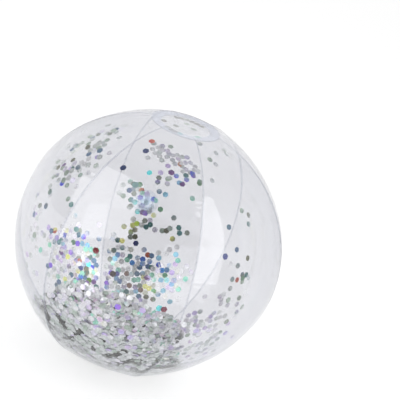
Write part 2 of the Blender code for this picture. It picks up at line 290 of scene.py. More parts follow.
class Nodes:
    """The node tree of a material or the world, with short calls to add nodes and links."""

    def __init__(self, owner):
        self.owner = owner
        owner.use_nodes = True
        self.tree = owner.node_tree
        self.tree.nodes.clear()

    def add(self, kind, **settings):
        """Adds a node. A setting is one of its properties, or an input by name with spaces as underscores."""
        node = self.tree.nodes.new("ShaderNode" + kind)
        for key, value in settings.items():
            if hasattr(node, key):
                setattr(node, key, value)
            else:
                node.inputs[key.replace("_", " ")].default_value = value
        return node

    def link(self, source, target):
        """Links a socket to the target, or sets the target to a number."""
        if isinstance(source, (int, float)):
            target.default_value = source
        else:
            self.tree.links.new(source, target)

    def noise(self, scale, detail=3.0, stretch=(1, 1, 1)):
        """Noise on the object's own coordinates, whose features are about 1/scale metres wide."""
        place = self.add("TexCoord")
        mapping = self.add("Mapping", Scale=stretch)
        texture = self.add("TexNoise", Scale=scale, Detail=detail)
        self.link(place.outputs["Object"], mapping.inputs["Vector"])
        self.link(mapping.outputs["Vector"], texture.inputs["Vector"])
        return texture.outputs["Fac"]

    def cells(self, scale):
        """Distance to the middles of irregular cells about 1/scale metres wide."""
        place = self.add("TexCoord")
        texture = self.add("TexVoronoi", Scale=scale)
        self.link(place.outputs["Object"], texture.inputs["Vector"])
        return texture.outputs["Distance"]

    def math(self, operation, first, second):
        """A Math node. Each operand is a number or a socket."""
        node = self.add("Math", operation=operation)
        self.link(first, node.inputs[0])
        self.link(second, node.inputs[1])
        return node.outputs[0]

    def spread(self, source, low, high, span=(0.3, 0.7), **settings):
        """Maps a span of the source's values to low .. high."""
        node = self.add("MapRange", **settings)
        for socket, value in zip(node.inputs[:5], (source, *span, low, high)):
            self.link(value, socket)
        return node.outputs[0]

    def mix(self, share, first, second):
        """A Mix Shader of two shaders."""
        node = self.add("MixShader")
        for socket, value in zip(node.inputs, (share, first, second)):
            self.link(value, socket)
        return node.outputs[0]

    def bump(self, height, distance, strength=1.0, under=None):
        """A Bump node over another one's normal."""
        node = self.add("Bump", Strength=strength, Distance=distance)
        self.link(height, node.inputs["Height"])
        if under is not None:
            self.link(under, node.inputs["Normal"])
        return node.outputs["Normal"]

    def finish(self, shader, output="OutputMaterial"):
        self.link(shader, self.add(output).inputs["Surface"])
        return self.owner


def film_surface(nodes):
    """Blown film: slow waviness and a very fine grain."""
    slow = nodes.bump(nodes.noise(26, 2), 0.0010, 0.35)
    return nodes.bump(nodes.noise(700, 2), 0.00004, 0.25, slow)


def weld_surface(nodes):
    """A weld pressed by a ribbed electrode: fine pips over slow waves."""
    slow = nodes.bump(nodes.noise(60, 2), 0.0008, 0.5)
    return nodes.bump(nodes.cells(900), 0.0001, 0.5, slow)


def moulded_surface(nodes):
    """Soft injection-moulded plastic, lightly grained."""
    return nodes.bump(nodes.noise(1500, 3), 0.00005, 0.4)


# Clear plastics: tint face on, tint edge on, least and most haze, roughness, surface
PLASTICS = {
    "clear_film": ((0.917, 0.918, 0.929), (0.82, 0.825, 0.85), (0.004, 0.020), 0.045, film_surface),
    "welded_film": ((0.95, 0.953, 0.965), (0.88, 0.885, 0.91), (0.02, 0.05), 0.14, weld_surface),
    "lapped_film": ((0.935, 0.945, 0.97), (0.80, 0.82, 0.88), (0.03, 0.08), 0.10, weld_surface),
    "clear_moulding": ((0.95, 0.965, 0.985), (0.80, 0.86, 0.93), (0.02, 0.05), 0.12, moulded_surface),
    "plug_plastic": ((0.88, 0.94, 0.98), (0.66, 0.78, 0.90), (0.06, 0.12), 0.18, moulded_surface),
    "flap_film": ((0.94, 0.95, 0.97), (0.78, 0.80, 0.86), (0.03, 0.06), 0.18, moulded_surface),
}


def clear_plastic(name):
    """Clear plastic that shows what is behind it straight through.

    It has a tint that deepens as it turns edge on, gloss that rises the same way, and a little white haze.
    """
    face_on, edge_on, haze, roughness, surface = PLASTICS[name]
    nodes = Nodes(bpy.data.materials.new(name))
    normal = surface(nodes)
    facing = nodes.add("LayerWeight", Blend=0.5)
    nodes.link(normal, facing.inputs["Normal"])
    tilt = facing.outputs["Facing"]
    tint = nodes.add("MixRGB", Color1=(*face_on, 1), Color2=(*edge_on, 1))
    nodes.link(nodes.math("POWER", tilt, TINT_POWER), tint.inputs["Fac"])
    through = nodes.add("BsdfTransparent")
    nodes.link(tint.outputs[0], through.inputs["Color"])
    veil = nodes.add("BsdfDiffuse", Color=HAZE_COLOUR)
    reflection = nodes.add("BsdfAnisotropic", Roughness=roughness, Color=(1, 1, 1, 1))
    nodes.link(normal, reflection.inputs["Normal"])
    veil_share = nodes.spread(nodes.noise(38, 5), *haze)
    body = nodes.mix(veil_share, through.outputs[0], veil.outputs[0])
    rise = nodes.math("MULTIPLY", nodes.math("POWER", tilt, GLOSS_POWER), 1 - GLOSS_FACE_ON)
    shine = nodes.math("ADD", rise, GLOSS_FACE_ON)
    return nodes.finish(nodes.mix(shine, body, reflection.outputs[0]))


def foil_material():
    """Embossed foil: each sequin's own colour, broken by soft bands of a second tone, and fine ruling."""
    nodes = Nodes(bpy.data.materials.new("sequin_foil"))
    colour = nodes.add("Attribute", attribute_name="foil_colour")
    bands = nodes.noise(260, 2, (1, 1, 0.3))
    shift = nodes.add("HueSaturation", Saturation=1.05)
    nodes.link(nodes.spread(bands, 0.47, 0.53), shift.inputs["Hue"])
    nodes.link(nodes.spread(nodes.noise(420, 2), 0.80, 1.18), shift.inputs["Value"])
    nodes.link(colour.outputs["Color"], shift.inputs["Color"])
    ruling = nodes.bump(nodes.noise(2600, 1, (1, 0.2, 1)), 0.00003, 0.5)
    shader = nodes.add("BsdfPrincipled", Metallic=0.62)
    nodes.link(shift.outputs[0], shader.inputs["Base Color"])
    nodes.link(nodes.spread(nodes.noise(900, 2), 0.16, 0.30), shader.inputs["Roughness"])
    nodes.link(ruling, shader.inputs["Normal"])
    return nodes.finish(shader.outputs[0])


def floor_material():
    """Matt white board over a faint light, as on a light table, so that the ball's shadow stays pale."""
    nodes = Nodes(bpy.data.materials.new("pale_floor"))
    grain = nodes.noise(160, 3)
    tone = nodes.add("MixRGB", Color1=FLOOR_TONES[0], Color2=FLOOR_TONES[1])
    nodes.link(grain, tone.inputs["Fac"])
    shader = nodes.add("BsdfPrincipled", Roughness=0.8, Emission_Strength=FLOOR_GLOW)
    shader.inputs["Emission Color"].default_value = (1, 1, 1, 1)
    shader.inputs["Specular IOR Level"].default_value = 0.1
    nodes.link(tone.outputs[0], shader.inputs["Base Color"])
    nodes.link(nodes.bump(grain, 0.0002, 0.2), shader.inputs["Normal"])
    return nodes.finish(shader.outputs[0])


# Meshes


def add_piece(mesh, materials):
    """An object of the mesh's name, smooth round its curves and sharp at its corners."""
    for material in materials:
        mesh.materials.append(material)
    mesh.shade_smooth()
    mesh.set_sharp_from_angle(angle=SHARP_ANGLE)
    piece = bpy.data.objects.new(mesh.name, mesh)
    bpy.context.scene.collection.objects.link(piece)
    return piece


def new_piece(name, vertices, faces, materials):
    """An object made of vertices and faces."""
    mesh = bpy.data.meshes.new(name)
    mesh.from_pydata([tuple(vertex) for vertex in vertices], [], faces)
    return add_piece(mesh, materials)


def settle(piece, body, slot, *nodes):
    """The piece rides on its body and stands for CAD nodes, which it hides. slot is not used."""
    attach(piece, body)
    if nodes:
        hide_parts(*nodes)


def pucker(colatitude, longitude, share):
    """The small creases that run out from the seams and from the discs' welds."""
    seam = round((longitude - FRONT - HALF_GORE) / (2 * HALF_GORE)) % GORE_COUNT
    along = BALL_RADIUS * colatitude / PUCKER_LENGTH * 2 * math.pi
    wave = math.sin(along + 1.9 * seam + 1.3 * math.sin(along / 3.7 + seam) + 2.1 * share)
    slow = 0.6 + 0.4 * math.sin(along / 5.3 + 2.6 * seam)
    reach = seam_distance(colatitude, share) / PUCKER_REACH
    height = PUCKER_HEIGHT * (0.5 + 0.5 * wave) * slow * reach * math.exp(1 - reach)
    from_disc = (min(colatitude, math.pi - colatitude) - RIM_COLATITUDE) * BALL_RADIUS / DISC_PUCKER_REACH
    rays = math.sin(DISC_PUCKERS * longitude + 1.2 * math.sin(5 * longitude))
    ray_height = DISC_PUCKER_HEIGHT * (0.5 + 0.5 * rays) * from_disc * math.exp(1 - from_disc)
    return -height * fullness(colatitude) - ray_height


def swell(colatitude, longitude):
    """Slow unevenness of the blown-up film, the same on both sides of a seam."""
    east = math.sin(3 * longitude + 2.0 * math.cos(colatitude) + 0.7)
    north = math.sin(5.0 * colatitude + 2.0 * math.sin(longitude))
    small = math.sin(7 * longitude + 4.0 * colatitude) * math.sin(9 * colatitude - longitude)
    return SWELL_HEIGHT * fullness(colatitude) * (0.5 * east + 0.4 * north + 0.25 * small)


def gore_section():
    """The loop round a gore's thin section, as (share, distance from the seam plane, layer)."""
    edge = GAP / 2
    root = edge + FIN_THICKNESS
    quarter = math.pi / 2
    shares = [math.sin(quarter * (2 * index / GORE_COLUMNS - 1)) for index in range(1, GORE_COLUMNS)]
    outer = [(-1, edge), (-1, root)] + [(share, 0) for share in shares] + [(1, root), (1, edge)]
    tips = [(1, edge), (1, root), (-1, root), (-1, edge)]
    loop = [(*column, "outer") for column in outer]
    loop += [(*column, "tip") for column in tips[:2]]
    loop += [(*column, "inner") for column in reversed(outer[1:-1])]
    loop += [(*column, "tip") for column in tips[2:]]
    return loop


def gore_rows():
    """(colatitude on the wall, or distance from the axis and side on a lap) for each row, top to bottom."""
    steps = np.linspace(0, 1, LAP_ROWS)
    lap = [LAP_END + (LAP_START - LAP_END) * step for step in steps]
    wall = np.linspace(RIM_COLATITUDE, math.pi - RIM_COLATITUDE, GORE_ROWS + 1)
    rows = [("lap", distance, 1) for distance in lap]
    rows += [("wall", float(colatitude), 0) for colatitude in wall]
    return rows + [("lap", distance, -1) for distance in reversed(lap)]


def gore_point(row, column, middle):
    """A point of the gore whose middle is at that longitude."""
    kind, place, side = row
    share, from_seam, layer = column
    if kind == "lap":
        depth = {"outer": 0, "inner": FILM, "tip": FILM + FIN_LEAST}[layer]
        distance = place
        height = side * (LAP_HEIGHT - depth)
    else:
        depth = {"outer": 0, "inner": FILM, "tip": FILM + fin_depth(place)}[layer]
        longitude = middle + share * HALF_GORE
        radius = wall_radius(place, share) + swell(place, longitude) + pucker(place, longitude, share) - depth
        distance = radius * math.sin(place)
        height = radius * math.cos(place)
    longitude = middle + share * HALF_GORE - math.copysign(math.asin(from_seam / distance), share)
    return distance * math.cos(longitude), distance * math.sin(longitude), DISC_HEIGHT + height


def gore_end_faces(row):
    """Closes a tip of the gore: a strip between the film's faces, and three triangles at each fin."""
    outer_count = GORE_COLUMNS + 3
    outer = row[:outer_count]
    right_edge_tip, right_root_tip = row[outer_count : outer_count + 2]
    left_root_tip, left_edge_tip = row[-2:]
    inner = list(reversed(row[outer_count + 2 : -2]))
    faces = [(outer[i + 1], outer[i + 2], inner[i + 1], inner[i]) for i in range(len(inner) - 1)]
    for edge, root, film, root_tip, edge_tip in (
        (outer[0], outer[1], inner[0], left_root_tip, left_edge_tip),
        (outer[-1], outer[-2], inner[-1], right_root_tip, right_edge_tip),
    ):
        faces += [(edge, root, film), (edge, film, edge_tip), (film, root_tip, edge_tip)]
    return faces


def make_gore(number, film, weld):
    """A gore of film with its two inward fins. Slot 1 is the weld, on the fins and the seam's edges."""
    middle = FRONT + 2 * HALF_GORE * (number - 1)
    section = gore_section()
    rows = gore_rows()
    count = len(section)
    vertices = [gore_point(row, column, middle) for row in rows for column in section]
    faces = []
    for row in range(len(rows) - 1):
        for index in range(count):
            ahead = (index + 1) % count
            start, below = row * count, (row + 1) * count
            faces.append((start + index, start + ahead, below + ahead, below + index))
    weld_columns = {0, *range(GORE_COLUMNS + 1, GORE_COLUMNS + 5), *range(count - 3, count)}
    wall_faces = len(faces)
    faces += gore_end_faces(list(range(count)))
    faces += gore_end_faces(list(range(len(vertices) - count, len(vertices))))
    gore = new_piece(f"film_gore_{number}", vertices, faces, [film, weld])
    kinds = [int(index < wall_faces and index % count in weld_columns) for index in range(len(faces))]
    gore.data.polygons.foreach_set("material_index", kinds)
    face_outwards(gore)
    return gore


def face_outwards(piece):
    """Turns the mesh's faces outwards."""
    shape = bmesh.new()
    shape.from_mesh(piece.data)
    bmesh.ops.recalc_face_normals(shape, faces=shape.faces)
    shape.to_mesh(piece.data)
    shape.free()


def cut_valve_hole(gore, seat, material):
    """Cuts the valve's hole through the front gore."""
    reach = FILM_HOLE_RADIUS
    profile = [(0, reach), (FILM_HOLE_RADIUS, reach), (FILM_HOLE_RADIUS, -reach), (0, -reach)]
    cutter = turned("valve_hole_cutter", profile, [material], seat)
    hole = gore.modifiers.new("valve_hole", "BOOLEAN")
    hole.solver = "EXACT"
    hole.object = cutter
    bpy.context.view_layer.update()
    evaluated = gore.evaluated_get(bpy.context.evaluated_depsgraph_get())
    cut = bpy.data.meshes.new_from_object(evaluated)
    gore.modifiers.clear()
    gore.data = cut
    bpy.data.objects.remove(cutter, do_unlink=True)


def rounded(profile, radius, steps=4):
    """The closed profile with its corners rounded off, apart from corners on the axis."""
    points = [Vector(point) for point in profile]
    found = []
    for before, corner, after in zip(points[-1:] + points[:-1], points, points[1:] + points[:1]):
        if corner.x == 0:
            found.append(tuple(corner))
            continue
        back, ahead = before - corner, after - corner
        cut = min(radius, back.length * 0.45, ahead.length * 0.45)
        start = corner + back.normalized() * cut
        end = corner + ahead.normalized() * cut
        for step in range(steps + 1):
            share = step / steps
            bend = start * (1 - share) ** 2 + corner * 2 * share * (1 - share) + end * share**2
            found.append(tuple(bend))
    return found


def turned(name, profile, materials, matrix, segments=VALVE_SEGMENTS, relief=None):
    """A solid of revolution about Z, moved by the matrix. Its profile is (radius, height) points.

    relief adds to the height, by radius and angle.
    """
    vertices = []
    rings = []
    for radius, height in profile:
        steps = segments if radius > 1e-9 else 1
        ring = []
        for step in range(steps):
            angle = 2 * math.pi * step / segments
            level = height + relief(radius, angle) if relief else height
            ring.append(len(vertices))
            vertices.append(matrix @ Vector((radius * math.cos(angle), radius * math.sin(angle), level)))
        rings.append(ring)
    faces = []
    for ring, following in zip(rings, rings[1:] + rings[:1]):
        for step in range(segments):
            ahead = step + 1
            corners = [
                ring[step % len(ring)],
                ring[ahead % len(ring)],
                following[ahead % len(following)],
                following[step % len(following)],
            ]
            corners = list(dict.fromkeys(corners))
            if len(corners) > 2:
                faces.append(corners)
    piece = new_piece(name, vertices, faces, materials)
    face_outwards(piece)
    return piece


# Discs


def disc_relief(dome, radius, angle):
    """Height of a disc's outer face over its flat: the dome, the pressed rings and the radial creases."""
    inside = min(radius / LAP_END, 1)
    height = dome * (1 - inside**2) ** 2
    for ring in (LAP_END + 0.0008, DISC_RADIUS - 0.0012):
        height -= DISC_GROOVE_DEPTH * math.exp(-(((radius - ring) / DISC_GROOVE_WIDTH) ** 2))
    creases = 0.5 + 0.5 * math.sin(DISC_CREASES * angle + 1.5 * math.sin(3 * angle))
    near_weld = math.exp(-(((radius - LAP_END + 0.003) / DISC_CREASE_WIDTH) ** 2))
    return height - DISC_CREASE_DEPTH * creases * near_weld


def make_disc(name, side, dome, film, lap):
    """A pole disc as a closed sheet. Slot 1 is the band that is welded to the gore tips."""
    radii = [DISC_RADIUS * ring / DISC_RINGS for ring in range(DISC_RINGS + 1)]
    profile = [(radius, DISC_HEIGHT) for radius in radii]
    profile += [(radius, DISC_HEIGHT - DISC_THICKNESS) for radius in reversed(radii)]
    pole = Matrix.Translation((0, 0, DISC_HEIGHT)) @ Matrix.Diagonal((1, 1, side, 1))
    disc = turned(name, profile, [film, lap], pole, DISC_SEGMENTS, partial(disc_relief, dome))
    for polygon in disc.data.polygons:
        polygon.material_index = int(polygon.center.xy.length > LAP_END)
    return disc


# Valve


def valve_seat():
    """The valve's own frame: its middle on the film's outer face, and Z out along its axis."""
    location = CENTRE + outwards(VALVE_COLATITUDE, FRONT) * wall_radius(VALVE_COLATITUDE, 0)
    return Matrix.Translation(location) @ Euler((VALVE_COLATITUDE, 0, 0)).to_matrix().to_4x4()


def make_flange(seat, material):
    """The welded ring under the film, with two pressed grooves in it."""
    seat_radius = wall_radius(VALVE_COLATITUDE, 0)
    outer_sphere = seat_radius - FILM - FLANGE_SET
    inner_sphere = outer_sphere - FLANGE_THICKNESS
    radii = [float(radius) for radius in np.linspace(FLANGE_BORE_RADIUS, FLANGE_RADIUS, FLANGE_RINGS)]
    profile = []
    for radius in radii:
        wave = math.cos(2 * math.pi * (radius - FLANGE_BORE_RADIUS) / FLANGE_GROOVE_PITCH)
        groove = FLANGE_GROOVE_DEPTH * (0.5 + 0.5 * wave)
        profile.append((radius, math.sqrt(outer_sphere**2 - radius**2) - seat_radius - groove))
    profile += [(radius, math.sqrt(inner_sphere**2 - radius**2) - seat_radius) for radius in reversed(radii)]
    return turned("welded_flange", profile, [material], seat)


def make_stem(seat, material):
    """The tube, with a rounded rim outside, a thinner bellows-like waist and a stop collar inside."""
    bottom = STOP_THICKNESS - STEM_DEPTH
    profile = [
        (STEM_BORE_RADIUS, RIM_TOP),
        (RIM_RADIUS, RIM_TOP),
        (RIM_RADIUS, RIM_LIFT),
        (STEM_RADIUS, RIM_LIFT),
    ]
    waist = [float(height) for height in np.linspace(WAIST_START, bottom + 0.0015, WAIST_RINGS)]
    profile += [(STEM_RADIUS - WAIST_DEPTH * (index % 2), height) for index, height in enumerate(waist)]
    profile += [
        (STEM_RADIUS, bottom),
        (STOP_RADIUS, bottom),
        (STOP_RADIUS, -STEM_DEPTH),
        (STEM_BORE_RADIUS, -STEM_DEPTH),
    ]
    return turned("moulded_stem", rounded(profile, STEM_ROUNDING), [material], seat)


def make_plug(hinge, material):
    """The plug: a domed head with a rounded edge over a tapered shank."""
    underside = RIM_TOP + GAP - HINGE_HEIGHT
    top = underside + PLUG_HEAD_THICKNESS
    crown = [(PLUG_HEAD_RADIUS * share, top - PLUG_CROWN * share**2) for share in (0.25, 0.5, 0.75, 0.93)]
    profile = [
        (0, top),
        *crown,
        (PLUG_HEAD_RADIUS, top - 1.6 * PLUG_CROWN),
        (PLUG_HEAD_RADIUS, underside),
        (PLUG_TOP_RADIUS, underside),
        (PLUG_TIP_RADIUS, underside - PLUG_DEPTH),
        (0, underside - PLUG_DEPTH),
    ]
    middle = hinge @ Matrix.Translation((HINGE_REACH, 0, 0))
    return turned("moulded_plug", rounded(profile, PLUG_ROUNDING), [material], middle)


def make_strap(hinge, material):
    """The strap from the rim's side to the plug's head, with a thin living hinge at its foot."""
    underside = RIM_TOP + GAP - HINGE_HEIGHT
    strap_end = HINGE_REACH - PLUG_HEAD_RADIUS + STRAP_LAP
    knuckle = [math.radians(angle) for angle in range(90, 331, 15)]
    outline = [(HINGE_RADIUS * math.cos(a), HINGE_RADIUS * math.sin(a)) for a in knuckle]
    outline += [
        (HINGE_RADIUS, underside),
        (strap_end, underside),
        (strap_end, underside + STRAP_THICKNESS),
        (HINGE_RADIUS, underside + STRAP_THICKNESS),
    ]
    on_edge = hinge @ Matrix.Rotation(math.pi / 2, 4, "X")
    return bevelled_prism("moulded_strap", outline, STRAP_WIDTH, STRAP_BEVEL, on_edge, material)


def make_flap(hinge, material):
    """The thin round flap with its tab, its edges slightly rounded."""
    half_tab = FLAP_TAB_WIDTH / 2
    start = math.pi - math.asin(half_tab / FLAP_RADIUS)
    steps = 40
    outline = []
    for step in range(steps + 1):
        angle = start - 2 * start * step / steps
        outline.append((FLAP_REACH + FLAP_RADIUS * math.cos(angle), FLAP_RADIUS * math.sin(angle)))
    outline += [(0, -half_tab), (0, half_tab)]
    return bevelled_prism("soft_flap", outline, FLAP_THICKNESS, FLAP_BEVEL, hinge, material)


def bevelled_prism(name, outline, depth, bevel, matrix, material):
    """A prism along Z with bevelled edges, centred on the outline's plane and moved by the matrix."""
    shape = bmesh.new()
    near = [shape.verts.new((x, y, -depth / 2)) for x, y in outline]
    far = [shape.verts.new((x, y, depth / 2)) for x, y in outline]
    faces = [shape.faces.new(near), shape.faces.new(far)]
    for index, corner in enumerate(near):
        following = (index + 1) % len(near)
        shape.faces.new([corner, near[following], far[following], far[index]])
    rims = list({edge for face in faces for edge in face.edges})
    bmesh.ops.recalc_face_normals(shape, faces=shape.faces)
    bmesh.ops.bevel(shape, geom=rims, offset=bevel, segments=2, affect="EDGES", clamp_overlap=True)
    bmesh.ops.transform(shape, matrix=matrix, verts=shape.verts)
    bmesh.ops.recalc_face_normals(shape, faces=shape.faces)
    mesh = bpy.data.meshes.new(name)
    shape.to_mesh(mesh)
    shape.free()
    return add_piece(mesh, [material])


def add_valve():
    """The five pieces of the valve, on the ball, stem, plug and flap bodies."""
    seat = valve_seat()
    moulding = clear_plastic("clear_moulding")
    plug_plastic = clear_plastic("plug_plastic")
    plug_hinge = seat @ Matrix.Translation((-HINGE_REACH, 0, HINGE_HEIGHT))
    middle = GAP + FLAP_THICKNESS / 2
    flap_hinge = seat @ Matrix.Translation((-FLAP_REACH, 0, -STEM_DEPTH - middle))
    settle(make_flange(seat, moulding), "ball", "clear_moulding", "valve_flange")
    settle(make_stem(seat, moulding), "stem", "clear_moulding", "valve_stem")
    settle(make_plug(plug_hinge, plug_plastic), "plug", "plug_plastic", "valve_plug")
    settle(make_strap(plug_hinge, plug_plastic), "plug", "plug_plastic", "plug_strap")
    settle(make_flap(flap_hinge, clear_plastic("flap_film")), "flap", "flap_film", "valve_flap")
    return seat


# Sequins


def hexagon_corners(places):
    """The 12 corners of each sequin, 6 on its face and 6 on its back."""
    middles = np.array([place[0] for place in places])
    normals = np.array([place[1] for place in places])
    normals /= np.linalg.norm(normals, axis=1)[:, None]
    spins = np.array([place[2] for place in places])
    helper = np.where(np.abs(normals[:, 2:3]) < 0.9, [[0.0, 0.0, 1.0]], [[1.0, 0.0, 0.0]])
    first = np.cross(helper, normals)
    first /= np.linalg.norm(first, axis=1)[:, None]
    second = np.cross(normals, first)
    angles = spins[:, None] + np.arange(6) * math.pi / 3
    ring = np.cos(angles)[..., None] * first[:, None] + np.sin(angles)[..., None] * second[:, None]
    ring = middles[:, None] + SEQUIN_CORNER * ring
    half = normals[:, None] * (SEQUIN_THICKNESS / 2)
    return np.concatenate([ring + half, ring - half], axis=1).reshape(-1, 3)


def hexagon_faces(count):
    """The 8 faces of each sequin."""
    faces = []
    for index in range(count):
        top, under = 12 * index, 12 * index + 6
        faces.append(tuple(range(top, top + 6)))
        faces.append(tuple(range(under + 5, under - 1, -1)))
        for side in range(6):
            ahead = (side + 1) % 6
            faces.append((top + side, under + side, under + ahead, top + ahead))
    return faces


def corner_colours(places):
    """Each corner's colour: the sequin's own on one side, turning to its second tone on the other."""
    colours = np.array([place[3] for place in places])
    others = np.array([place[4] for place in places])
    share = np.tile((0.5 + 0.5 * np.cos(np.arange(6) * math.pi / 3)), 2)[None, :, None]
    blended = colours[:, None] * (1 - share) + others[:, None] * share
    alpha = np.ones((len(places), 12, 1))
    return np.concatenate([blended, alpha], axis=2).astype(np.float32).reshape(-1)


def sequin_mesh(name, places, material):
    """One mesh of thin hexagons. Each place is (middle, normal, spin, colour, second colour)."""
    piece = new_piece(name, hexagon_corners(places), hexagon_faces(len(places)), [material])
    attribute = piece.data.color_attributes.new("foil_colour", "FLOAT_COLOR", "POINT")
    attribute.data.foreach_set("color", corner_colours(places))
    return piece


def foil_pair(random, palette):
    """A sequin's colour and, on some sequins, a second tone across it."""
    names = PALETTES[palette].split() if palette in PALETTES else [palette]
    first = linear(FOILS[names[random.integers(len(names))]])
    second = first
    if random.random() < TWO_TONED:
        second = 0.3 * first + 0.7 * linear(FOILS[names[random.integers(len(names))]])
    light = random.uniform(*FOIL_LIGHT)
    return np.minimum(first * light, 1), np.minimum(second * light, 1)


def tilted(random, normal, degrees):
    """The normal turned by a random small angle."""
    sideways = Vector(random.normal(size=3)) * math.radians(degrees)
    return (normal + sideways - normal * sideways.dot(normal)).normalized()


def free_of_fittings(direction, valve):
    """True where a sequin on the film touches no fin, disc or valve."""
    colatitude, share = film_place(direction)
    rim = math.asin((DISC_RADIUS + SEQUIN_CORNER + DISC_MARGIN) / BALL_RADIUS)
    if not rim < colatitude < math.pi - rim:
        return False
    return seam_distance(colatitude, share) > FIN_MARGIN and direction.angle(valve) > VALVE_MARGIN


def on_film(random, direction, palette, tilt=3.0, extra=0.0):
    """A sequin nearly flat under the film in that direction. extra is how much deeper it lies than most."""
    radius = wall_radius(*film_place(direction)) - FILM - SEQUIN_SET - extra
    colour, other = foil_pair(random, palette)
    normal = tilted(random, direction, tilt)
    return CENTRE + direction * radius, normal, random.uniform(0, math.pi), colour, other


# Where sequins cling to the film: longitude, colatitude, spread of both in degrees, count, palette
CLUSTERS = (
    # The far wall, above the heap
    (122, 137, 11, 4, 62, "jewels"),
    (103, 137, 8, 4, 24, "jewels"),
    (90, 134, 5, 5, 20, "jewels"),
    (134, 130, 7, 4, 24, "soft"),
    (91, 124, 6, 4, 13, "blues"),
    (112, 120, 6, 4, 15, "slates"),
    (112, 127, 8, 4, 12, "pale"),
    (140, 122, 8, 6, 34, "soft"),
    (146, 118, 9, 6, 16, "soft"),
    (150, 130, 6, 5, 18, "soft"),
    (80, 124, 6, 7, 26, "pale"),
    (106, 109, 3, 4, 12, "olives"),
    (92, 104, 6, 4, 10, "olives"),
    (104, 98, 4, 6, 16, "mixed"),
    (111, 90, 4, 3, 10, "mixed"),
    (92, 79, 8, 5, 16, "mixed"),
    (88, 71, 7, 4, 12, "ghosts"),
    (103, 67, 6, 3, 18, "ghosts"),
    (78, 56, 6, 4, 6, "ghosts"),
    # Along the left limb, seen aslant
    (152, 86, 8, 9, 16, "greys"),
    (146, 78, 9, 8, 16, "ghosts"),
    (-140, 63, 7, 11, 14, "greys"),
    (-134, 50, 6, 6, 10, "ghosts"),
    (-146, 40, 9, 7, 9, "greys"),
    (143, 65, 9, 5, 12, "greys"),
    (-136, 92, 5, 10, 10, "ghosts"),
    (165, 108, 4, 8, 10, "ghosts"),
    # The right and lower right
    (54, 92, 7, 8, 8, "greys"),
    (42, 106, 4, 3, 5, "greys"),
    (38, 121, 9, 6, 16, "ghosts"),
    (28, 131, 10, 6, 20, "ghosts"),
    (50, 138, 9, 5, 16, "ghosts"),
    (20, 142, 12, 6, 20, "ghosts"),
    (-40, 93, 7, 8, 6, "greys"),
    (-46, 104, 7, 6, 10, "ghosts"),
    # The near wall, just over the heap
    (-112, 105, 9, 4, 16, "sparkle"),
    (-92, 106, 12, 3, 14, "sparkle"),
)

CLUSTER_TRIES = 40  # for each sequin of a group
CLUSTER_END = 2  # a group ends this many spreads from its middle

# The bank: the sequins that the film holds all round the heap
BANK_TRIES = 81000
BANK_SPACING = 0.0031
BANK_DEPTH = 0.0012
BANK_RISE = math.radians(2.5)  # how far it stands over the heap's edge
BANK_FADE = math.radians(3)
GAP_LEVEL = 0.19  # lower for larger gaps
GAP_SHARE = 0.004  # how likely a try in a gap is kept

# Single sequins on the near wall: longitude, colatitude, foil
SINGLES = (
    (-111, 43, "navy"),
    (-107, 31, "navy"),
    (-110, 25, "rust"),
    (-102, 78, "wine"),
    (-92, 84, "ink"),
    (-46, 67, "navy"),
    (-99, 47, "teal"),
    (-82, 36, "purple"),
    (-70, 92, "aqua"),
    (-68, 92, "wine"),
    (-86, 97, "violet"),
    (-76, 95, "lavender"),
)

# The part's own clinging sequins
PLACED_COUNT = 36
PLACED_FOILS = ("teal", "indigo", "purple", "rust", "green", "silver")


def direction_at(longitude, colatitude):
    """outwards() in degrees."""
    return outwards(math.radians(colatitude), math.radians(longitude))


def clinging_places(random):
    """Sequins that cling to the film in loose groups, each clear of the others."""
    valve = outwards(VALVE_COLATITUDE, FRONT)
    taken = []
    places = []
    for longitude, colatitude, wide, tall, count, palette in CLUSTERS:
        found = tries = 0
        while found < count and tries < CLUSTER_TRIES * count:
            tries += 1
            offset = random.normal(size=2)
            direction = direction_at(longitude + wide * offset[0], colatitude + tall * offset[1])
            close = any((direction - other).length * BALL_RADIUS < SEQUIN_SPACING for other in taken)
            if close or np.abs(offset).max() > CLUSTER_END or not free_of_fittings(direction, valve):
                continue
            taken.append(direction)
            places.append(on_film(random, direction, palette))
            found += 1
    for longitude, colatitude, foil in SINGLES:
        places.append(on_film(random, direction_at(longitude, colatitude), foil))
    return places


def in_gap(direction):
    """True in the small patches where the sequins along the film part and show the dark sequins painted as
    the shade within.

    Two crossed waves set them out, about 2 cm across.
    """
    wave = math.sin(20 * direction.x + 2 * math.sin(15 * direction.z))
    cross_wave = math.sin(23 * direction.z + 2 * math.sin(17 * direction.x) + 1)
    return wave * cross_wave > GAP_LEVEL


def bank_share(direction):
    """How full the bank is there: 1 over the heap, fading to 0 near its edge, and nearly 0 in the gaps.

    It stands a little over the heap's edge at the front and ends short of it at the back.
    """
    local = Euler((HEAP_TILT, 0, 0)).to_matrix() @ direction
    turn = math.atan2(local.y, local.x)
    front = smooth_step(0.3, 0.9, -math.sin(turn))
    rise = BANK_RISE * (2 * front - 1 + 0.5 * math.sin(9 * turn) + 0.5 * math.sin(23 * turn))
    past = local.angle(Vector((0, 0, -1))) - heap_edge(turn) - rise
    share = 1 - smooth_step(0, BANK_FADE, past)
    return share * GAP_SHARE if in_gap(direction) else share


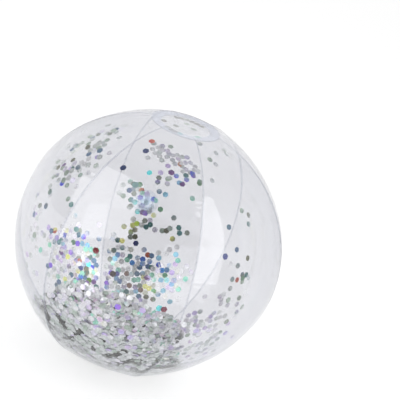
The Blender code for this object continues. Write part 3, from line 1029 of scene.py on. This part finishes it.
def bank_places(random):
    """The bank: sequins spread at random over the film round the heap, with gaps that show the dark sequins
    painted as its shade.
    """
    valve = outwards(VALVE_COLATITUDE, FRONT)
    reach = 1 - math.cos(HEAP_SPREAD + 2 * BANK_RISE + BANK_FADE)
    taken = np.empty((0, 3))
    places = []
    for _ in range(BANK_TRIES):
        direction = heap_direction(math.acos(1 - reach * random.random()), random.uniform(0, 2 * math.pi))
        if random.random() > bank_share(direction) or not free_of_fittings(direction, valve):
            continue
        apart = np.linalg.norm(taken - np.array(direction), axis=1) * BALL_RADIUS
        if apart.size and apart.min() < BANK_SPACING:
            continue
        taken = np.vstack([taken, np.array(direction)])
        places.append(on_film(random, direction, "bank", tilt=3.5, extra=random.uniform(0, BANK_DEPTH)))
    return places


def heap_direction(angle, turn):
    """A direction at that angle from the heap's middle."""
    level = math.sin(angle)
    local = Vector((level * math.cos(turn), level * math.sin(turn), -math.cos(angle)))
    return Euler((-HEAP_TILT, 0, 0)).to_matrix() @ local


def smooth_step(low, high, value):
    """0 below low, 1 above high, and smooth between them."""
    share = min(max((value - low) / (high - low), 0), 1)
    return share * share * (3 - 2 * share)


def heap_edge(turn):
    """The angle from the heap's middle to its uneven edge, which draws in at the right and the left."""
    waves = 0.5 * math.sin(3 * turn + 0.6) + 0.3 * math.sin(7 * turn + 2.0) + 0.2 * math.sin(13 * turn)
    right = HEAP_DRAWN_RIGHT * smooth_step(0.52, 0.78, math.cos(turn))
    left = HEAP_DRAWN_LEFT * smooth_step(0.65, 0.98, -math.cos(turn))
    return HEAP_SPREAD * (1 - HEAP_WAVES + HEAP_WAVES * waves) - right - left


def beside_seam(direction):
    """True by a seam, where the bank leaves room for the fins and the heap shows."""
    return seam_distance(*film_place(direction)) < SEAM_REACH


def heap_layer(random, count, depth, tilt, palette, draw=0.0):
    """A layer of the heap: sequins spread evenly, then nudged.

    depth is under the heap's outer face, and draw is how far its edge lies inside the heap's own.
    """
    places = []
    for index in range(count):
        height = (index + 0.5) / count
        angle = math.acos(1 - height * (1 - math.cos(HEAP_SPREAD)))
        turn = index * GOLDEN_ANGLE
        direction = heap_direction(angle, turn)
        direction = (direction + Vector(random.normal(size=3)) * HEAP_NUDGE / BALL_RADIUS).normalized()
        if angle > heap_edge(turn) - draw:
            continue
        colour, other = foil_pair(random, "bank" if beside_seam(direction) else palette)
        sag = depth + abs(random.normal()) * HEAP_SAG
        normal = tilted(random, direction, tilt)
        lean = SEQUIN_CORNER * math.sin(direction.angle(normal))
        middle = CENTRE + direction * (HEAP_RADIUS - sag - lean - SEQUIN_THICKNESS)
        places.append((middle, normal, random.uniform(0, math.pi), colour, other))
    return places


def trapped_places(random):
    """A few sequins caught under the upper disc: two rows beside the gore tips, and some loose ones."""
    found = [(turn, TRAPPED_REACH, "shade") for turn in (58, 72, 86, 99, 112, 126, 232, 246, 258)]
    found += [(192, 0.023, "shade"), (270, TRAPPED_REACH, "aqua"), (318, 0.023, "mint")]
    found += [(95, 0.012, "sage"), (20, 0.009, "sage"), (215, 0.011, "smoke")]
    places = []
    for turn, reach, palette in found:
        angle = math.radians(turn)
        height = 2 * DISC_HEIGHT - TRAPPED_DEPTH - random.uniform(0, 0.0004)
        middle = Vector((reach * math.cos(angle), reach * math.sin(angle), height))
        colour, other = foil_pair(random, palette)
        places.append((middle, tilted(random, Vector((0, 0, 1)), 1), random.uniform(0, 1), colour, other))
    return places


def add_placed_sequins(foil):
    """The clinging sequins that the part places one by one, six foils in turn."""
    for kind, name in enumerate(PLACED_FOILS):
        random = np.random.default_rng(SEED + 100 + kind)
        nodes = [f"sequin_{number:02d}" for number in range(kind + 1, PLACED_COUNT + 1, len(PLACED_FOILS))]
        places = []
        for node in nodes:
            low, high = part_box(node)
            direction = ((low + high) / 2 - CENTRE).normalized()
            places.append(on_film(random, direction, name))
        piece = sequin_mesh(f"sequins_{name}", places, foil)
        settle(piece, "ball", f"foil_{name}", *nodes)


def add_sequins():
    """The heap, the clinging sequins and the ones caught under the upper disc."""
    foil = foil_material()
    random = np.random.default_rng(SEED)
    # The outer layer is dark foil, painted shade inside the heap, which the bank's gaps show
    painted_shade_sequins = heap_layer(random, count=2400, depth=0.0, tilt=6, palette="shade", draw=HEAP_PAINTED_SHADE_DRAWN)
    settle(sequin_mesh("heap_outer", painted_shade_sequins, foil), "heap", "heap_foil", "sequin_heap")
    bright = heap_layer(random, count=3000, depth=0.0018, tilt=11, palette="sparkle")
    settle(sequin_mesh("heap_top", bright, foil), "heap", "heap_foil")
    for name, places_of in (
        ("clinging_bank", bank_places),
        ("clinging_sequins", clinging_places),
        ("trapped_sequins", trapped_places),
    ):
        settle(sequin_mesh(name, places_of(random), foil), "ball", "foil_silver")
    add_placed_sequins(foil)


# The ball


def add_ball(seat):
    """The six gores and the two discs."""
    film = clear_plastic("clear_film")
    weld = clear_plastic("welded_film")
    lap = clear_plastic("lapped_film")
    for number in range(1, GORE_COUNT + 1):
        gore = make_gore(number, film, weld)
        if number == 1:
            cut_valve_hole(gore, seat, film)
        settle(gore, "ball", "clear_film", f"gore_{number}")
    settle(make_disc("upper_disc", 1, DISC_DOME, film, lap), "ball", "disc_film", "top_disc")
    settle(make_disc("lower_disc", -1, 0, film, lap), "ball", "disc_film", "bottom_disc")


# Floor, light and camera


def add_floor():
    """A wide round board under the ball."""
    profile = [(0, -FLOOR_DROP), (FLOOR_RADIUS, -FLOOR_DROP), (FLOOR_RADIUS, -FLOOR_DEPTH), (0, -FLOOR_DEPTH)]
    turned("floor", profile, [floor_material()], Matrix.Identity(4), FLOOR_SEGMENTS)


def camera_back():
    """The direction from the ball to the camera."""
    return outwards(math.pi / 2 - CAMERA_ELEVATION, FRONT + CAMERA_AZIMUTH)


def camera_axes():
    """The camera's turn as it looks straight at the ball, with its roll."""
    look = (-camera_back()).to_track_quat("-Z", "Y").to_matrix()
    return look @ Matrix.Rotation(CAMERA_ROLL, 3, "Z")


def add_camera():
    """A long lens, turned a little aside so that the ball lies low and to the left in the frame."""
    aside = Matrix.Rotation(-math.atan(BALL_LEFT * SENSOR / LENS), 3, "Y")
    upwards = Matrix.Rotation(math.atan(BALL_LOW * SENSOR / LENS), 3, "X")
    data = bpy.data.cameras.new("camera")
    data.lens = LENS
    data.sensor_width = SENSOR
    data.clip_end = 100
    camera = bpy.data.objects.new("camera", data)
    bpy.context.scene.collection.objects.link(camera)
    camera.location = CENTRE + camera_back() * CAMERA_DISTANCE
    camera.rotation_mode = "QUATERNION"
    camera.rotation_quaternion = (camera_axes() @ aside @ upwards).to_quaternion()
    bpy.context.scene.camera = camera


def add_softbox(name, towards, width, height, radiance):
    """A soft light that faces the ball, upright as the camera sees it."""
    axes = camera_axes()
    direction = (axes @ Vector(towards)).normalized()
    across = (axes @ Vector((0, 1, 0))).cross(direction).normalized()
    data = bpy.data.lights.new(name, "AREA")
    data.shape = "RECTANGLE"
    data.size = width
    data.size_y = height
    data.energy = radiance * math.pi * width * height
    lamp = bpy.data.objects.new(name, data)
    bpy.context.scene.collection.objects.link(lamp)
    lamp.location = CENTRE + direction * SOFTBOX_DISTANCE
    lamp.rotation_mode = "QUATERNION"
    turn = Matrix((across, direction.cross(across), direction)).transposed()
    lamp.rotation_quaternion = turn.to_quaternion()
    lamp.visible_camera = False


def add_world():
    """A white studio that darkens towards the camera's side. The camera itself sees plain white."""
    world = bpy.data.worlds.new("studio")
    bpy.context.scene.world = world
    nodes = Nodes(world)
    place = nodes.add("TexCoord")
    towards = nodes.add("VectorMath", operation="DOT_PRODUCT")
    towards.inputs[1].default_value = (camera_axes() @ Vector(DARK_SIDE)).normalized()
    nodes.link(place.outputs["Generated"], towards.inputs[0])
    side = towards.outputs["Value"]
    light = nodes.spread(side, WORLD_LIGHT, WORLD_DARK, WORLD_FADE, interpolation_type="SMOOTHSTEP")
    path = nodes.add("LightPath")
    strength = nodes.add("Mix", B=WORLD_SEEN)
    nodes.link(path.outputs["Is Camera Ray"], strength.inputs["Factor"])
    nodes.link(light, strength.inputs["A"])
    background = nodes.add("Background", Color=(1, 1, 1, 1))
    nodes.link(strength.outputs["Result"], background.inputs["Strength"])
    nodes.finish(background.outputs[0], "OutputWorld")


def add_studio():
    """The floor, the lights and the camera."""
    add_world()
    add_floor()
    for softbox in SOFTBOXES:
        add_softbox(*softbox)
    add_camera()
    scene = bpy.context.scene
    scene.view_settings.view_transform = "Standard"
    scene.cycles.transparent_max_bounces = 32  # a line of sight crosses both faces of many films


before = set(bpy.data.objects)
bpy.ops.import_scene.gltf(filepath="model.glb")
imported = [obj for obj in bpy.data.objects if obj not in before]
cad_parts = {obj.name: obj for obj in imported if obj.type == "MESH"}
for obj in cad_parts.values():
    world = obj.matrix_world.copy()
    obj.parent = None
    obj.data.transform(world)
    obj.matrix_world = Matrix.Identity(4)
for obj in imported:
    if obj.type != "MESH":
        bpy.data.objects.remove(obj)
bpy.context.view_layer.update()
add_studio()
valve_frame = add_valve()
add_ball(valve_frame)
add_sequins()
bpy.context.view_layer.update()
